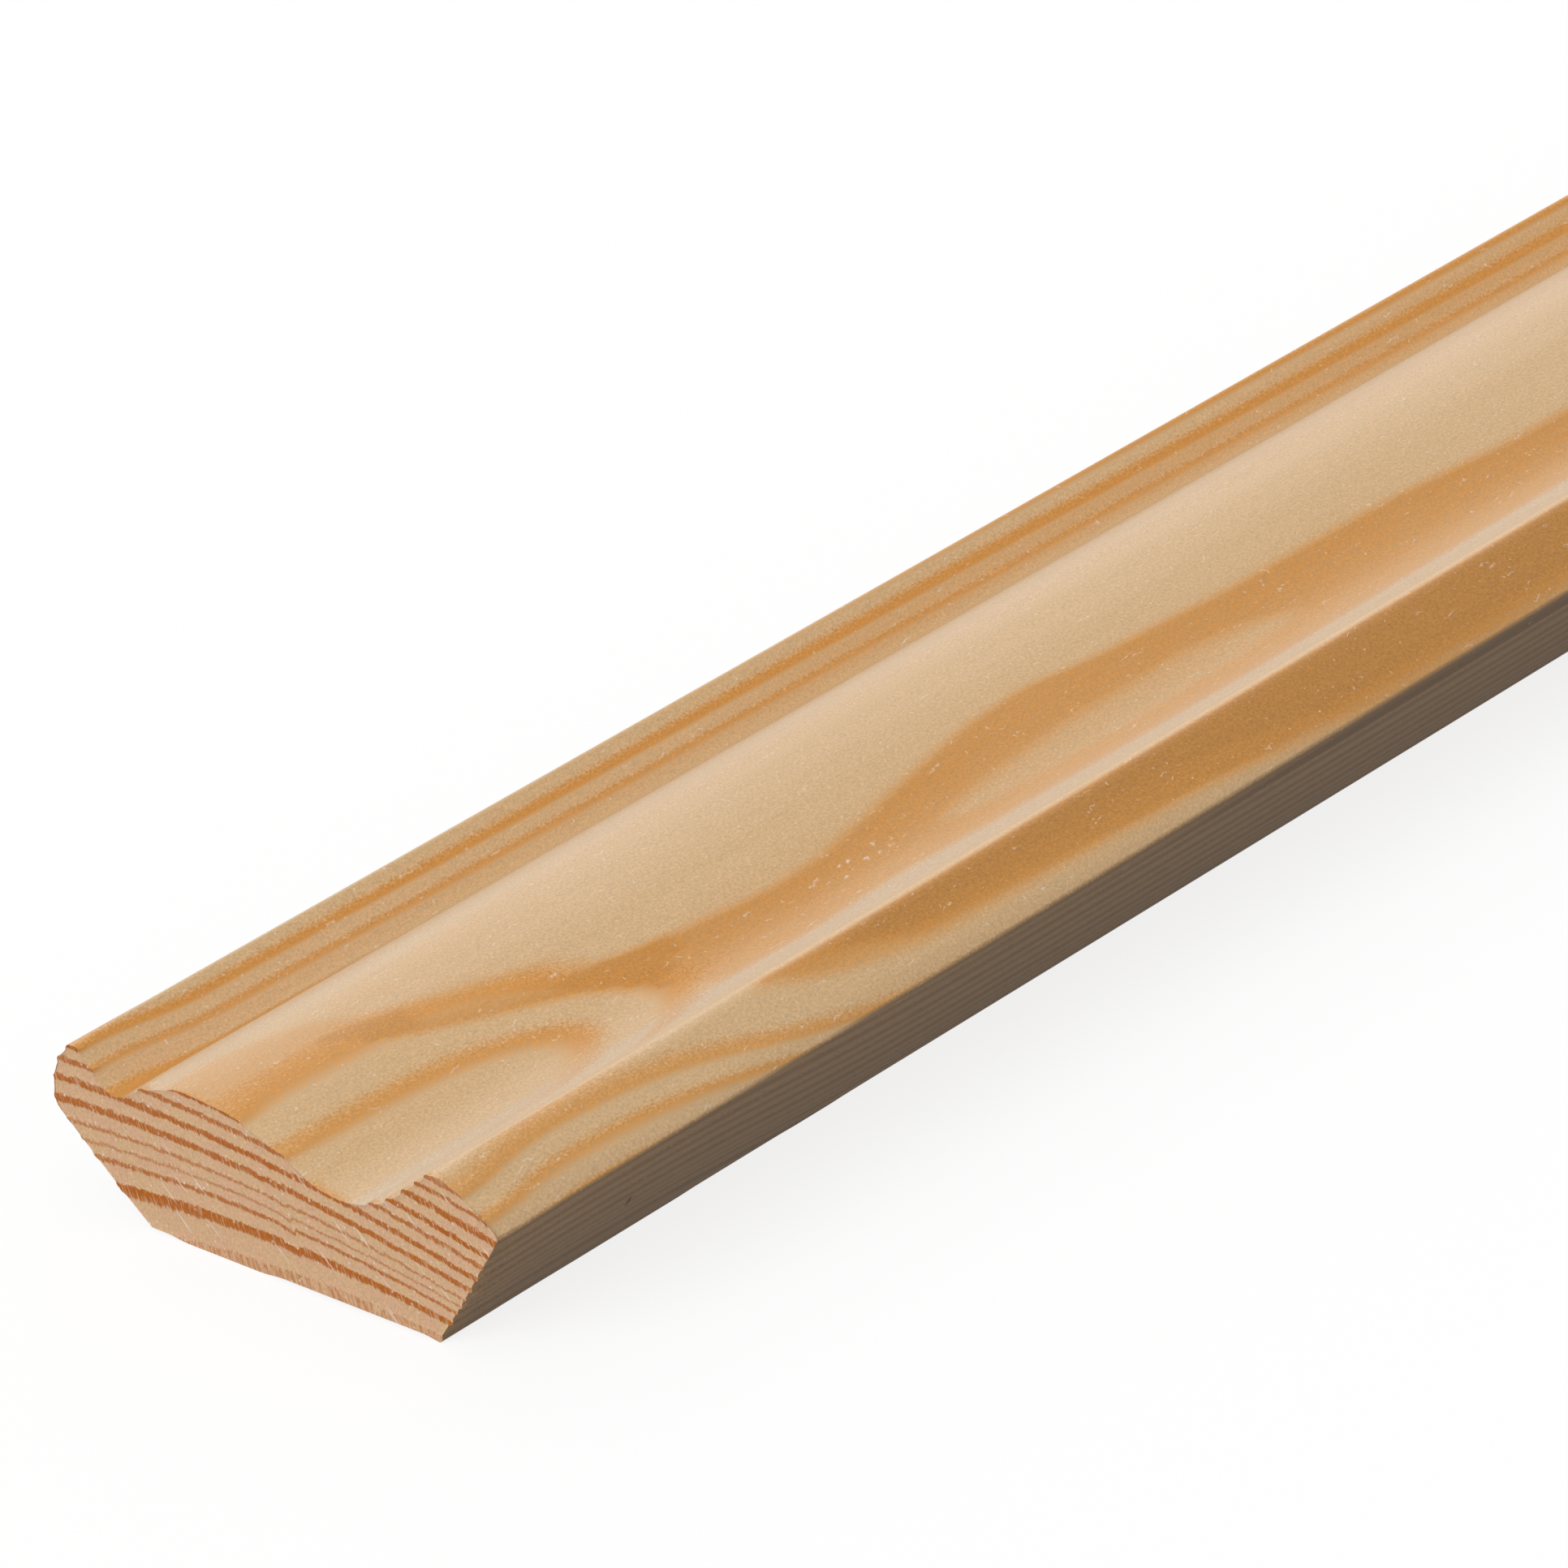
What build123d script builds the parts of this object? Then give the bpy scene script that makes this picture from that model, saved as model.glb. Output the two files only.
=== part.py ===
"""Softwood ceiling trim: one length of planed moulding, 44 x 12 mm.

The flat back lies on z = 0 and the moulded face is up. X runs along the length,
the bead is on the -Y side and the nose is on the +Y side.
"""

import os
from math import cos, radians, sin, tan

from build123d import *

os.makedirs("parts", exist_ok=True)

# Stock
length = 2400.0
width = 44.0
thickness = 12.0

# Nose, the narrow ridge along the +Y edge
nose_tip_inset = 4.25
nose_side_drop = 5.2
nose_side_radius = 6.6
nose_tip_ease = 0.4
nose_side_ease = 1.0

# Valley between nose and crown
valley_inset = 6.95
valley_drop = 3.3
valley_radius = 1.0

# Crown, the broad hump next to the nose
crown_inset = 15.5
crown_drop = 0.75
crown_share = 0.785

# Cove, the hollow between crown and bead
cove_drop = 4.23
cove_radius = 12.0

# Bead, the rounded ridge along the -Y edge
bead_inset = 4.5
bead_radius = 1.8
bead_rise_angle = 30.0
bead_fall_angle = 32.5
shoulder_inset = 1.3

# Arris between bead and wall bevel, and the corners of the back
arris_drop = 3.1
arris_ease = 0.3
back_ease = 0.3

# Levels and corners that follow from them. The bevels are at 45 degrees, so each is as wide as it is high
nose_side = width / 2
bead_side = -width / 2
nose_bevel = thickness - nose_side_drop
bead_bevel = thickness - arris_drop
back_nose = (nose_side - nose_bevel, 0)
back_bead = (bead_side + bead_bevel, 0)
nose_edge = (nose_side, nose_bevel)
nose_tip = (nose_side - nose_tip_inset, thickness)
valley = (nose_side - valley_inset, thickness - valley_drop)
crown = (nose_side - crown_inset, thickness - crown_drop)
bead = (bead_side + bead_inset, thickness)
arris = (bead_side, bead_bevel)

# The straight flank leaves the bead's round and would meet the level of the cove's bottom at the toe
rise = radians(bead_rise_angle)
fall = radians(bead_fall_angle)
cove_level = thickness - cove_drop
flank_top = (bead[0] + bead_radius * sin(rise), thickness - bead_radius * (1 - cos(rise)))
toe = flank_top[0] + (flank_top[1] - cove_level) / tan(rise)
toe_run = cove_radius * tan(rise / 2)
flank_foot = (toe - toe_run * cos(rise), cove_level + toe_run * sin(rise))
cove = (toe + toe_run, cove_level)

# The crown's arc turns into the cove's arc where the line between their level points is shared
turn = (
    crown[0] + crown_share * (cove[0] - crown[0]),
    crown[1] + crown_share * (cove[1] - crown[1]),
)

# The bead's outer flank falls straight to the shoulder, which rounds over to the arris
fall_top = (bead[0] - bead_radius * sin(fall), thickness - bead_radius * (1 - cos(fall)))
shoulder_at = bead_side + shoulder_inset
shoulder = (shoulder_at, fall_top[1] - (fall_top[0] - shoulder_at) * tan(fall))

with BuildPart() as trim_strip:
    with BuildSketch(Plane.YZ) as section:
        with BuildLine():
            Polyline(nose_edge, back_nose, back_bead, arris)
            TangentArc(shoulder, arris, tangent=(-cos(fall), -sin(fall)))
            Line(fall_top, shoulder)
            JernArc(bead, (-1, 0), bead_radius, bead_fall_angle)
            JernArc(bead, (1, 0), bead_radius, -bead_rise_angle)
            Line(flank_top, flank_foot)
            TangentArc(cove, flank_foot, tangent=(-1, 0))
            TangentArc(cove, turn, tangent=(1, 0))
            TangentArc(crown, turn, tangent=(-1, 0))
            TangentArc(crown, valley, tangent=(1, 0))
            Line(valley, nose_tip)
            RadiusArc(nose_tip, nose_edge, nose_side_radius)
        make_face()
        corners = (
            (nose_edge, nose_side_ease),
            (nose_tip, nose_tip_ease),
            (valley, valley_radius),
            (arris, arris_ease),
            (back_nose, back_ease),
            (back_bead, back_ease),
        )
        for corner, radius in corners:
            fillet(section.vertices().sort_by_distance(corner)[0], radius)
    extrude(amount=length / 2, both=True)

trim_strip.part.label = "trim_strip"
export_step(trim_strip.part, "parts/trim_strip.step")
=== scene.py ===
"""Planed softwood ceiling trim: growth rings, raised grain and saw-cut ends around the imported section.

The strip lies on its flat back with its length along X. The end that the camera sees is at the low end
of X, the bead is on the -Y side and the nose on the +Y side. Sizes are in millimetres, turned to
metres where a mesh or camera is made.
"""
import logging
from dataclasses import dataclass, field
from enum import Enum
from math import cos, radians, sin

import bpy
import numpy as np
from mathutils import Matrix, Vector


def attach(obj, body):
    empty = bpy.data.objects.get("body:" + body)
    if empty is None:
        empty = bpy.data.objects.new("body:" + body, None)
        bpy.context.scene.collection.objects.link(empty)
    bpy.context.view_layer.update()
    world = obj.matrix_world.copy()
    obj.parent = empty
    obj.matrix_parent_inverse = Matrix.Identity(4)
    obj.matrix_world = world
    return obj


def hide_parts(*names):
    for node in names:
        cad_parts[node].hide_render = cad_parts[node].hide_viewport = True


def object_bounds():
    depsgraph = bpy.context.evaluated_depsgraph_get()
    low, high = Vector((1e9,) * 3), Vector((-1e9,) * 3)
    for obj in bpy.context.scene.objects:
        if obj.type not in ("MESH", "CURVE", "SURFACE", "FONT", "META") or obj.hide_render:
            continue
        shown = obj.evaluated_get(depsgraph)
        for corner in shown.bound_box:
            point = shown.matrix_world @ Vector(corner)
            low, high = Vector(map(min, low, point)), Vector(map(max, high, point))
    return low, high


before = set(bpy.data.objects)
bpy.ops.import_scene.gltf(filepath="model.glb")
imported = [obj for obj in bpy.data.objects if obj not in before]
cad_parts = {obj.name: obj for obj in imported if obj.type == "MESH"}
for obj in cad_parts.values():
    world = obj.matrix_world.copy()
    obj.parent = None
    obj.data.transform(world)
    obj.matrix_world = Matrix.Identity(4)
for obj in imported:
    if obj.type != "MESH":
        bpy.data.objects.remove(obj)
cad_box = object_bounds()

log = logging.getLogger("trim")
MM = 0.001
NODE_NAME = "trim_strip"
BODY_NAME = "root"
MATH = "ShaderNodeMath"
VECTOR_MATH = "ShaderNodeVectorMath"
MIX = "ShaderNodeMix"
NOISE = "ShaderNodeTexNoise"
MAP = "ShaderNodeMapRange"
READ = "ShaderNodeAttribute"
MIX_FACTOR, MIX_A, MIX_B = 0, 6, 7
MIX_LOW, MIX_HIGH = 2, 3


def linear(hex_colour: str) -> tuple[float, float, float, float]:
    """Turn an sRGB hex colour to linear light.

    Args:
        hex_colour: six hex digits, with or without a leading hash.

    Returns:
        Red, green, blue and an alpha of 1.
    """
    digits = hex_colour.lstrip("#")
    channels = []
    for start in (0, 2, 4):
        value = int(digits[start:start + 2], 16) / 255
        channels.append(value / 12.92 if value <= 0.04045 else ((value + 0.055) / 1.055) ** 2.4)
    return channels[0], channels[1], channels[2], 1.0


def add(tree: bpy.types.NodeTree, kind: str, links: dict[int | str, object] | None = None,
        **settings: object) -> bpy.types.Node:
    """Add one node with its settings and links.

    Args:
        tree: the node tree that gets it.
        kind: Blender's name for the node's type.
        links: socket name or number to a value, a socket, or a node whose shown output is used.
        settings: the node's own properties.

    Returns:
        The new node.
    """
    node = tree.nodes.new(kind)
    for name, value in settings.items():
        setattr(node, name, value)
    for socket, value in (links or {}).items():
        if isinstance(value, bpy.types.Node):
            value = next(output for output in value.outputs if output.enabled)
        if isinstance(value, bpy.types.NodeSocket):
            tree.links.new(value, node.inputs[socket])
        else:
            node.inputs[socket].default_value = value
    return node


def blank_material(name: str) -> tuple[bpy.types.Material, bpy.types.NodeTree]:
    """Make a material with an empty node tree.

    Args:
        name: the material's name.

    Returns:
        The material and its tree.
    """
    material = bpy.data.materials.new(name)
    material.use_nodes = True
    material.node_tree.nodes.clear()
    return material, material.node_tree


def millimetres(tree: bpy.types.NodeTree) -> bpy.types.Node:
    """Give the place on the piece in millimetres."""
    place = add(tree, "ShaderNodeTexCoord").outputs["Object"]
    return add(tree, VECTOR_MATH, {0: place, "Scale": 1 / MM}, operation="SCALE")


def straight_ray(tree: bpy.types.NodeTree) -> bpy.types.Node:
    """Tell a view of the background, plain, in gloss or through glass, from light that it gives.

    Args:
        tree: the node tree that gets it.

    Returns:
        A node giving 1 for a view and 0 for light.
    """
    path = add(tree, "ShaderNodeLightPath")
    seen = path.outputs["Is Camera Ray"]
    for kind in ("Is Glossy Ray", "Is Transmission Ray"):
        seen = add(tree, MATH, {0: seen, 1: path.outputs[kind]}, operation="MAXIMUM")
    return seen


def ease(value: np.ndarray, start: float, end: float) -> np.ndarray:
    """Rise smoothly from 0 at start to 1 at end.

    Args:
        value: where to read the rise.
        start: the value that gives 0.
        end: the value that gives 1, on either side of start.

    Returns:
        The share risen, as large as value.
    """
    share = np.clip((value - start) / (end - start), 0, 1)
    return share * share * (3 - 2 * share)


def smooth_through(knots: np.ndarray, heights: np.ndarray, at: np.ndarray) -> np.ndarray:
    """Read a smooth curve through points, with no overshoot between them.

    Args:
        knots: the points' places, rising.
        heights: the points' heights.
        at: the places to read.

    Returns:
        The curve's heights at those places.
    """
    run = np.diff(knots)
    slope = np.diff(heights) / run
    bend = np.zeros_like(heights)
    same_way = slope[:-1] * slope[1:] > 0
    near, far = run[:-1] + 2 * run[1:], 2 * run[:-1] + run[1:]
    with np.errstate(divide="ignore", invalid="ignore"):
        mean = (near + far) / (near / slope[:-1] + far / slope[1:])
    bend[1:-1] = np.where(same_way, mean, 0.0)
    bend[0], bend[-1] = slope[0], slope[-1]
    piece = np.clip(np.searchsorted(knots, at) - 1, 0, len(run) - 1)
    share = (at - knots[piece]) / run[piece]
    rise = heights[piece + 1] - heights[piece]
    start, end = bend[piece] * run[piece], bend[piece + 1] * run[piece]
    square, cube = 3 * rise - 2 * start - end, start + end - 2 * rise
    return heights[piece] + share * (start + share * (square + share * cube))


@dataclass(frozen=True)
class GrowthRing:
    """One year's latewood line, in millimetres.

    level is its height at the middle of the near end, late its thickness and depth how dark it is.
    """

    level: float
    late: float
    depth: float


@dataclass(frozen=True)
class Skim:
    """A stain where the cutter ran along a ring instead of across it.

    upper and lower are its edges on the face, as (distance from the near end, y). The stain goes from
    upper_depth at one edge to lower_depth at the other, and soft is how wide the edges fade. A depth
    below 0 takes stain away.
    """

    upper: tuple[tuple[float, float], ...]
    lower: tuple[tuple[float, float], ...]
    upper_depth: float
    lower_depth: float
    soft: float

    def stain(self, x: np.ndarray, y: np.ndarray) -> np.ndarray:
        """How strong this stain is at a place.

        Args:
            x: distance from the near end.
            y: place across the width.

        Returns:
            The stain, from 0 to 1, or below 0 where it takes stain away.
        """
        upper = np.interp(x, *zip(*self.upper))
        lower = np.interp(x, *zip(*self.lower))
        broad = ease(upper - lower, 0.2, 0.9)
        inside = broad * ease(y, upper + self.soft / 2, upper - self.soft / 2)
        inside = inside * ease(y, lower - self.soft / 2, lower + self.soft / 2)
        share = np.clip((y - lower) / np.maximum(upper - lower, 0.1), 0, 1)
        return inside * (self.lower_depth + (self.upper_depth - self.lower_depth) * share)


@dataclass
class GrowthFigure:
    """How the year rings run through the strip, by its place in the log.

    A ring is named by the height of its line above the back, seen at the near end on the column at
    middle_y. The rings rise across the width by tilt, more so high up by fan, and bow over by bow.
    Along the length they sink by sink in all, most of it within sink_run of sink_at, and less on the
    nose side. All sizes are in millimetres. A pair of bare numbers in ease is a place where something
    starts to show and a place where it shows in full.
    """

    length: float
    middle_y: float = 3.5
    tilt: float = 0.061
    fan: float = 0.0104
    fan_fade: float = -0.00107
    bow: float = -0.00302
    bow_change: float = 0.00013
    law_level: float = 7.0
    tries: int = 6
    sink: float = 2.65
    sink_at: float = 22.7
    sink_run: float = 8.5
    rise: float = 0.42
    rise_run: float = 4.0
    crown_rise: float = 0.1
    crown_run: float = 2.0
    nose_share: float = 0.11
    cove_lead: float = 2.0
    lead_y: float = -6.2
    lead_run: float = 2.5
    share_y: float = 0.4
    share_run: float = 3.2
    kink_y: float = -0.75
    kink_dip: float = 0.34
    kink_run: float = 1.6
    kink_level: float = 3.9
    kink_reach: float = 2.2
    nose_drop: float = 0.59
    nose_lift: float = 0.08
    far_drop: float = 0.35
    # Slow waves further on, as (height, run, start)
    wander: tuple[tuple[float, float, float], ...] = ((1.1, 171, 0.8), (0.7, 83, 2.1), (0.9, 390, 4.0))
    crown_edge: tuple[tuple[float, float], ...] = (
        (10, 4.5), (15.7, 2.0), (21.7, 0.1), (26, -2.0), (130, -1.5), (300, 4.5))
    face_z: float = 7.3
    valley_y: float = 13.6
    bead_y: float = -17.4
    cove_y: float = -10.2
    # From the lowest up, each as (level, late, depth)
    rings: tuple[GrowthRing, ...] = tuple(GrowthRing(*row) for row in (
        (-5.2, 0.35, 0.7), (-3.6, 0.30, 0.6), (-1.7, 0.40, 0.8), (0.30, 0.80, 0.42),
        (2.95, 0.46, 1.0), (4.39, 0.22, 0.85), (5.17, 0.14, 0.55), (6.04, 0.16, 0.7),
        (7.26, 0.36, 0.95), (8.60, 0.32, 0.95), (9.88, 0.28, 0.85), (10.89, 0.30, 1.0),
        (12.26, 0.36, 0.95), (13.36, 0.20, 0.9), (14.11, 0.32, 0.8), (15.5, 0.22, 0.3),
        (17.0, 0.30, 0.3), (18.7, 0.30, 0.5), (20.4, 0.35, 0.6), (22.3, 0.30, 0.6),
    ))
    skims: tuple[Skim, ...] = (
        # On the crown by the near end, fading up to the crest
        Skim(((-5, 9.3), (4, 8.9), (9, 6.8), (13, 3.4), (14, 1.0)),
             ((-5, 2.7), (4, 2.6), (9, 2.2), (14, 1.0)), 0.45, 0.6, 1.6),
        # Where the upper tongue leaves the crown
        Skim(((8, 4.6), (10, 4.2), (12, 3.4), (15.7, 2.3), (21.7, 0.2), (25, -1.9), (29, -2.4)),
             ((8, 4.4), (10, 1.6), (11.7, 0.7), (15.7, -0.9), (20, -2.3), (24, -3.7), (25.7, -5.3),
              (29, -2.6)),
             0.45, 0.9, 0.7),
        # In the cove, from the tongues on
        Skim(((21, -1.6), (25, -1.9), (30, -2.5), (36, -3.0), (40, -2.9), (45, -2.1), (50, -1.1),
              (55, -0.2), (60, 0.1), (65, -0.6), (75, -1.3), (90, -1.6), (100, -2.4), (125, -2.8),
              (170, -4.0), (230, -6.0)),
             ((21, -1.8), (25, -5.0), (28, -8.0), (34, -8.5), (42, -7.6), (50, -8.3), (70, -8.9),
              (90, -8.2), (125, -8.0), (170, -7.4), (230, -6.1)),
             0.9, 0.5, 1.0),
        # A pale island in it
        Skim(((47, -5.0), (52, -4.1), (60, -3.6), (70, -3.6), (75, -4.2), (79, -5.2)),
             ((47, -5.2), (52, -5.9), (62, -6.2), (72, -6.0), (79, -5.3)),
             -0.55, -0.45, 1.2),
        # Down the outside of the bead
        Skim(((21, -17.35), (30, -17.55), (200, -17.55), (300, -18.6)),
             ((21, -17.0), (23, -17.8), (26, -19.2), (28, -19.7), (30, -20.1), (34, -20.7), (55, -21.2),
              (70, -22.2), (200, -21.2), (300, -18.7)),
             1.15, 0.6, 0.9),
        # Darker still further on
        Skim(((28, -17.9), (300, -17.9)),
             ((28, -18.0), (34, -20.0), (60, -21.4), (80, -21.6), (300, -19.0)), 0.6, 0.4, 1.1),
        Skim(((50, -17.9), (300, -17.9)), ((50, -18.2), (66, -21.0), (300, -19.0)), 0.4, 0.4, 0.9),
        # Between the lines inside the nose, deeper further on
        Skim(((-5, 17.2), (2405, 17.2)), ((-5, 14.9), (2405, 14.9)), 0.17, 0.17, 0.9),
        Skim(((40, 16.1), (110, 17.4), (2405, 17.4)),
             ((40, 15.9), (110, 14.9), (2405, 14.9)), 0.2, 0.2, 0.9),
    )
    painted_sheen_strips: tuple[Skim, ...] = (
        # Painted sheen: whitish strips in the cove and on the crown's far slope, where the gloss whitens
        # the face seen flatly
        Skim(((-5, -8.0), (2405, -8.0)), ((-5, -10.9), (2405, -10.9)), 0.3, 0.3, 1.8),
        Skim(((-5, 14.4), (30, 14.2), (2405, 13.8)),
             ((-5, 9.2), (30, 8.2), (2405, 8.2)), 0.32, 0.12, 2.0),
    )

    def share(self, y: np.ndarray) -> np.ndarray:
        """Share of the sinking that a place across the width takes."""
        fall = 0.5 * (1 - np.tanh((y - self.share_y) / self.share_run))
        return self.nose_share + (1 - self.nose_share) * fall

    def sunk(self, x: np.ndarray, y: np.ndarray) -> np.ndarray:
        """How far the rings have sunk.

        Args:
            x: distance from the near end.
            y: place across the width.

        Returns:
            The drop since the near end.
        """
        sink_at = self.sink_at - self.cove_lead * np.exp(-((y - self.lead_y) / self.lead_run) ** 2)
        drop = self.sink * 0.5 * (1 + np.tanh((x - sink_at) / self.sink_run)) * self.share(y)
        bead_rise = self.rise * (1 - np.exp(-(x / self.rise_run) ** 2)) * ease(y, -8, -18)
        crown_rise = self.crown_rise * (1 - np.exp(-(x / self.crown_run) ** 2)) * ease(y, -3, 0)
        nose_drop = self.nose_drop * ease(x, 0, 9) - self.nose_lift * ease(x, 15, 31)
        far_drop = self.far_drop * ease(x, 40, 130) * ease(y, 4, 14)
        wander = sum(height * np.sin(x / run + start) for height, run, start in self.wander)
        return (drop - bead_rise - crown_rise + nose_drop * ease(y, 14, 15.5) + far_drop
                + ease(x, 130, 420) * wander)

    def level(self, x: np.ndarray, y: np.ndarray, z: np.ndarray) -> np.ndarray:
        """Ring that passes through a place.

        Args:
            x: distance from the near end.
            y: place across the width.
            z: height above the back.

        Returns:
            The height that this ring has on the middle column of the near end.
        """
        height = z + self.sunk(x, y)
        across = y - self.middle_y
        kink = ease(y, self.kink_y + self.kink_run, self.kink_y) * (y > self.kink_y)
        off = (height - self.kink_level) / self.kink_reach
        height = height + self.kink_dip * kink * np.exp(-off ** 2)
        found = height.copy()
        for _ in range(self.tries):
            above = found - self.law_level
            lean = self.tilt + self.fan * above + self.fan_fade * above ** 2
            guess = found + lean * across + (self.bow + self.bow_change * above) * across ** 2
            steep = 1 + (self.fan + 2 * self.fan_fade * above) * across + self.bow_change * across ** 2
            found = found - (guess - height) / np.maximum(steep, 0.4)
        return found

    def under(self, y: np.ndarray, z: np.ndarray) -> np.ndarray:
        """Where the back and the two bevels are.

        Args:
            y: place across the width.
            z: height above the back.

        Returns:
            1 there, and 0 on the moulded face.
        """
        # Each bevel is told from the face by a slanting line between the two
        bead_bevel = (z < 9) & (z < 9.2 - 0.4 * (y + 22))
        nose_bevel = (y > 15.6) & (z < y - 15.0)
        return (bead_bevel | nose_bevel | (z < 0.5)).astype(float)

    def shown(self, x: np.ndarray, y: np.ndarray, z: np.ndarray, level: np.ndarray) -> np.ndarray:
        """How much of the lines shows: all at the sawn ends, less on the crests, in the valley, in the cove
        and on the back and bevels. On the crown's top and the bead's inner side the fading is painted
        sheen.

        Args:
            x: distance from the near end.
            y: place across the width.
            z: height above the back.
            level: the ring there.

        Returns:
            The share of a line's darkness that shows.
        """
        # Fainter on the crown's top and the bead's inner side, as painted sheen, and in the valley
        start, end = np.interp(x, *zip(*self.crown_edge)), self.valley_y
        crest_sheen = ease(y, start - 0.6, start + 1.2) * ease(y, end + 0.8, end - 0.4) * (z > 9)
        flank_y = self.cove_y + 1.6 * ease(x, 22, 28)
        flank_sheen = ease(y, flank_y + 0.7, flank_y - 0.9) * (y > self.bead_y) * (z > 6)
        valley = ease(y, end - 1.5, end) * ease(y, 15.6, 15.0) * ease(x, 10, 26) * (z > 8)
        left = (1 - 0.9 * crest_sheen) * (1 - 0.9 * flank_sheen) * (1 - 0.8 * valley)
        # In the cove, under its stain, on its floor and at the tips of the tongues
        cove = ease(y, 5.0, 3.0) * ease(y, self.cove_y, self.cove_y + 1.0) * (z > 6)
        stained = cove * ease(x, 12, 17) * ease(x, 260, 180) * ease(level, 11.4, 11.7)
        floor = cove * ease(y, -3.0, -4.5) * ease(level, 9.4, 9.2) * (x < 60)
        tips = (0.75 + 0.25 * ease(x, 16, 12)) * ease(x, 60, 40) * ease(y, -5.6, -7.8)
        tips = tips * (z > 6) * (y > self.cove_y - 1)
        left = left * (1 - stained) * (1 - floor) * (1 - 0.75 * tips)
        # Fainter on the back and bevels, with the painted shade of their lines
        left = left * (1 - 0.2 * self.under(y, z))
        inside = ease(np.minimum(x, self.length - x), 0, 0.6)
        return 1 - (1 - left) * inside

    def reading(self, x: np.ndarray, y: np.ndarray, z: np.ndarray) -> dict[str, np.ndarray]:
        """Work out what the finishes read at each place.

        Args:
            x: distance from the near end.
            y: place across the width.
            z: height above the back.

        Returns:
            By name: ring, which counts rings with each line halfway between whole numbers, gap, the
            distance between lines, late, a line's thickness, depth, how dark it is, skim, the painted
            sheen, which pales the earlywood in two strips, and the painted shade, which is 1 on the back
            and bevels, where the lines are drawn duller and darker.
        """
        found = self.level(x, y, z)
        levels = np.array([ring.level for ring in self.rings])
        count = np.arange(len(levels)) + 0.5
        ring = np.interp(found, levels, count)
        late = np.interp(ring, count, [one.late for one in self.rings])
        depth = np.interp(ring, count, [one.depth for one in self.rings])
        under, face = self.under(y, z), z > self.face_z
        on_nose = (0.15 + 0.25 * ease(x, 12, 90)) * ease(y, 15, 16) * ease(found, 10.1, 10.5)
        deepest = 1 + 0.5 * (y < self.bead_y)
        return {
            "ring": ring,
            "gap": np.interp(ring, count, np.gradient(levels)),
            "late": late * (1 + (on_nose + 0.25 * under) * ease(x, 0, 2)),
            "depth": depth * self.shown(x, y, z, found),
            "skim": np.clip(sum(patch.stain(x, y) for patch in self.skims), 0, deepest) * face,
            # Painted sheen: pale strips standing in for the gloss on the face
            "painted_sheen": sum(patch.stain(x, y) for patch in self.painted_sheen_strips) * face,
            # Painted shade: 1 on the back and bevels, whose lines are drawn duller and darker
            "under_painted_shade": under,
        }

    def line(self, reading: dict[str, np.ndarray]) -> np.ndarray:
        """How much of the wood at a place is latewood, from 0 to 1."""
        off = np.abs(reading["ring"] % 1 - 0.5) * reading["gap"]
        return ease(off, reading["late"] / 2 + 0.1, reading["late"] / 2 - 0.1)


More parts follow.
